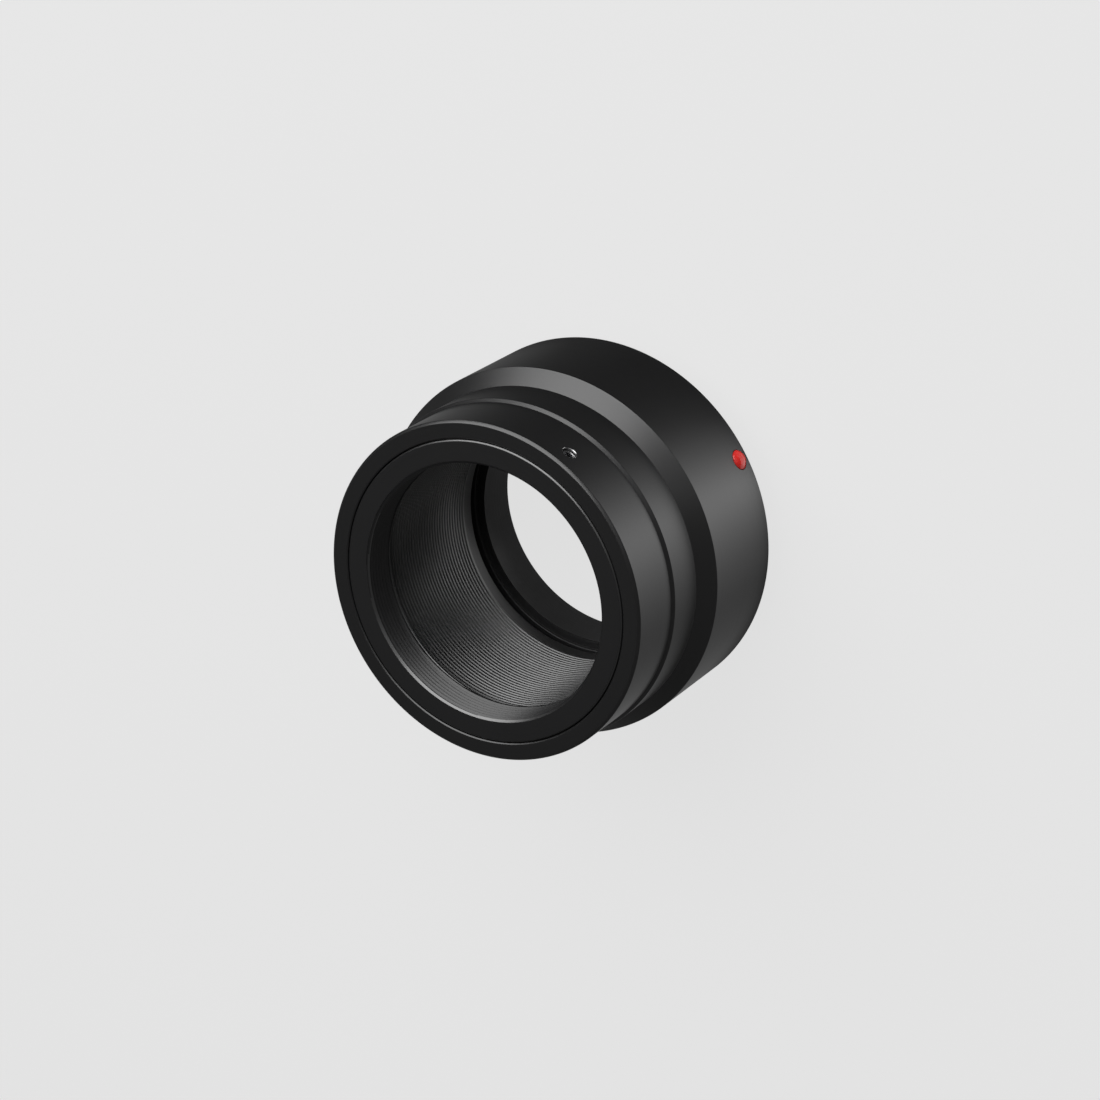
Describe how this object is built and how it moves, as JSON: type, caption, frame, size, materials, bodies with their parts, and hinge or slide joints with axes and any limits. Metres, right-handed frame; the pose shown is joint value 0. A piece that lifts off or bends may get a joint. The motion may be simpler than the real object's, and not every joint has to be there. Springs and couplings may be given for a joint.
{
  "type": "lens mount adapter",
  "caption": "Black tubular adapter that joins a threaded telescope or lens at its front ring to a camera's bayonet at its rear, with a clamped turning ring and a red index bead.",
  "frame": {"origin": "centre of the bayonet's seating face, on the optical axis", "axes": "+Z along the optical axis towards the threaded front, -Y towards the red index bead"},
  "size_m": [0.0606, 0.0614, 0.0417],
  "materials": {
    "barrel_black": "satin black anodised, finely turned",
    "ring_black": "satin black anodised, finely turned",
    "plate_black": "satin black anodised",
    "plate_screw_steel": "blackened steel",
    "set_screw_steel": "bright steel",
    "bead_red": "glossy red"
  },
  "bodies": {
    "adapter_body": {"barrel": "barrel_black", "bayonet_plate": "plate_black", "plate_screws": "plate_screw_steel", "index_bead": "bead_red"},
    "turning_ring": {"thread_ring": "ring_black"},
    "clamp_screw_1": {"set_screw_1": "set_screw_steel"},
    "clamp_screw_2": {"set_screw_2": "set_screw_steel"},
    "clamp_screw_3": {"set_screw_3": "set_screw_steel"}
  },
  "joints": [
    {"name": "ring_turn", "type": "hinge", "parent": "adapter_body", "child": "turning_ring", "pos_m": [0, 0, 0.0333], "axis": [0, 0, 1], "continuous": true},
    {"name": "clamp_screw_1_travel", "type": "slide", "parent": "adapter_body", "child": "clamp_screw_1", "axis": [0.5, -0.866, 0], "range_m": [0, 0.0009]},
    {"name": "clamp_screw_2_travel", "type": "slide", "parent": "adapter_body", "child": "clamp_screw_2", "axis": [0.5, 0.866, 0], "range_m": [0, 0.0009]},
    {"name": "clamp_screw_3_travel", "type": "slide", "parent": "adapter_body", "child": "clamp_screw_3", "axis": [-1, 0, 0], "range_m": [0, 0.0009]}
  ]
}
